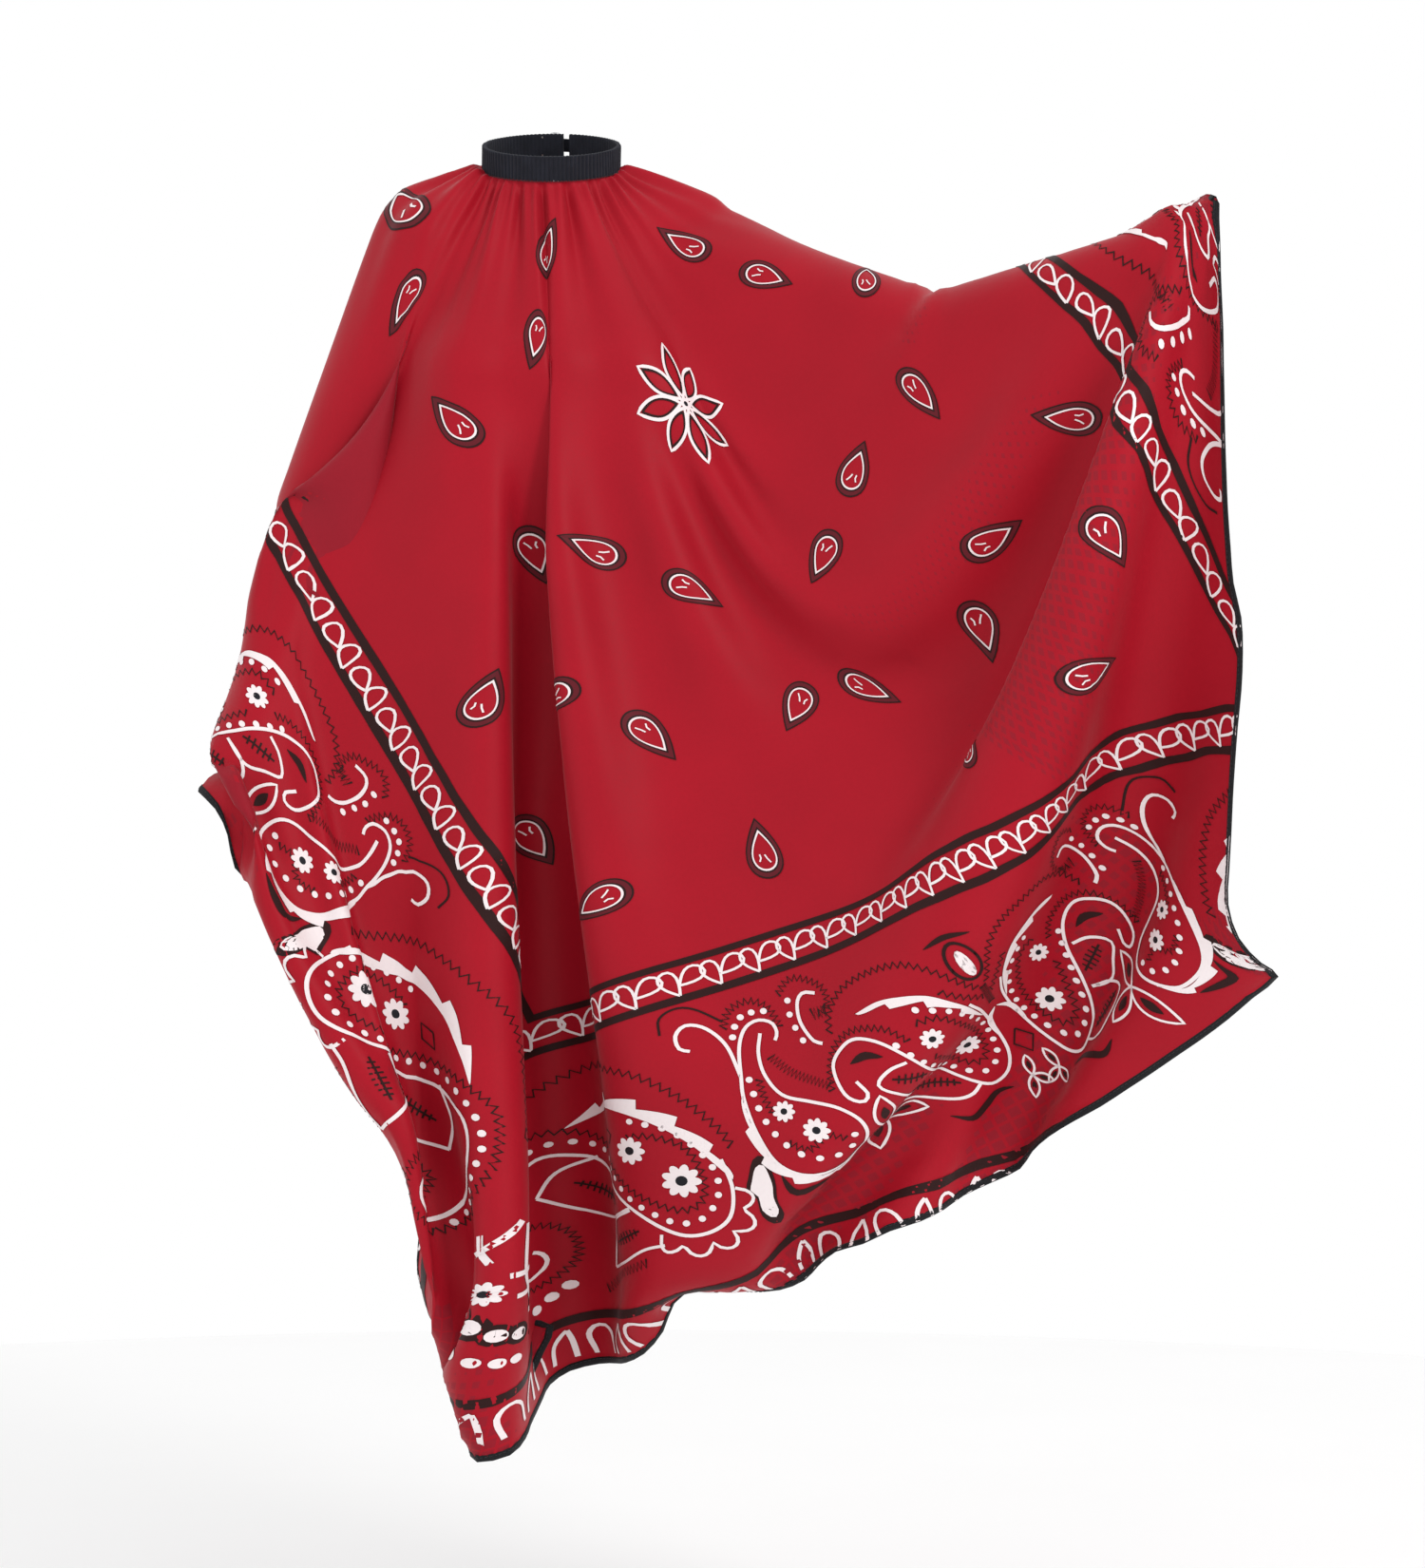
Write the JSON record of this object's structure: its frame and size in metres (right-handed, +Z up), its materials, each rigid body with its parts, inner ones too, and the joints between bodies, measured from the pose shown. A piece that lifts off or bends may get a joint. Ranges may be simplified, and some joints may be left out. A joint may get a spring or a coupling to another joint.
{
  "type": "barber cape",
  "caption": "Rectangular hair-cutting cape with a ribbed neckband and cam clip, draped as worn and held out by both side hems, with a printed border and bound hem.",
  "frame": {"origin": "centre of the neck opening, half way up the neckband", "axes": "+Z up, the wearer faces -Y, +X is the wearer's left, which is the viewer's right"},
  "size_m": [0.9865, 0.641, 1.2677],
  "materials": {
    "cape_cloth": "satin-matte woven polyester with a printed bandana pattern",
    "hem_binding": "matte black bias tape",
    "band_knit": "matte black rib knit",
    "elastic": "white woven elastic",
    "thread": "black polyester thread",
    "clip_steel": "nickel-plated stamping",
    "rivet_steel": "nickel-plated",
    "pin_steel": "plain steel",
    "lever_steel": "nickel-plated stamping, polished",
    "band_tail": "matte black woven elastic tape"
  },
  "bodies": {
    "cape": {"cape_cloth": "cape_cloth", "hem_binding_front": "hem_binding", "hem_binding_left": "hem_binding", "hem_binding_right": "hem_binding", "hem_binding_back_left": "hem_binding", "hem_binding_back_right": "hem_binding", "slit_binding_left": "hem_binding", "slit_binding_right": "hem_binding", "neckband_knit": "band_knit", "neckband_elastic": "elastic", "neck_seam_thread": "thread", "clip_plate": "clip_steel", "clip_rivets": "rivet_steel", "clip_pin": "pin_steel", "band_tail": "band_tail", "tail_stitches": "thread"},
    "clip_lever": {"clip_lever": "lever_steel"}
  },
  "joints": [
    {"name": "lever_hinge", "type": "hinge", "parent": "cape", "child": "clip_lever", "pos_m": [0.001, 0.06962, 0.02262], "axis": [0, 0.309, -0.9511], "range_deg": [0, 95]}
  ]
}
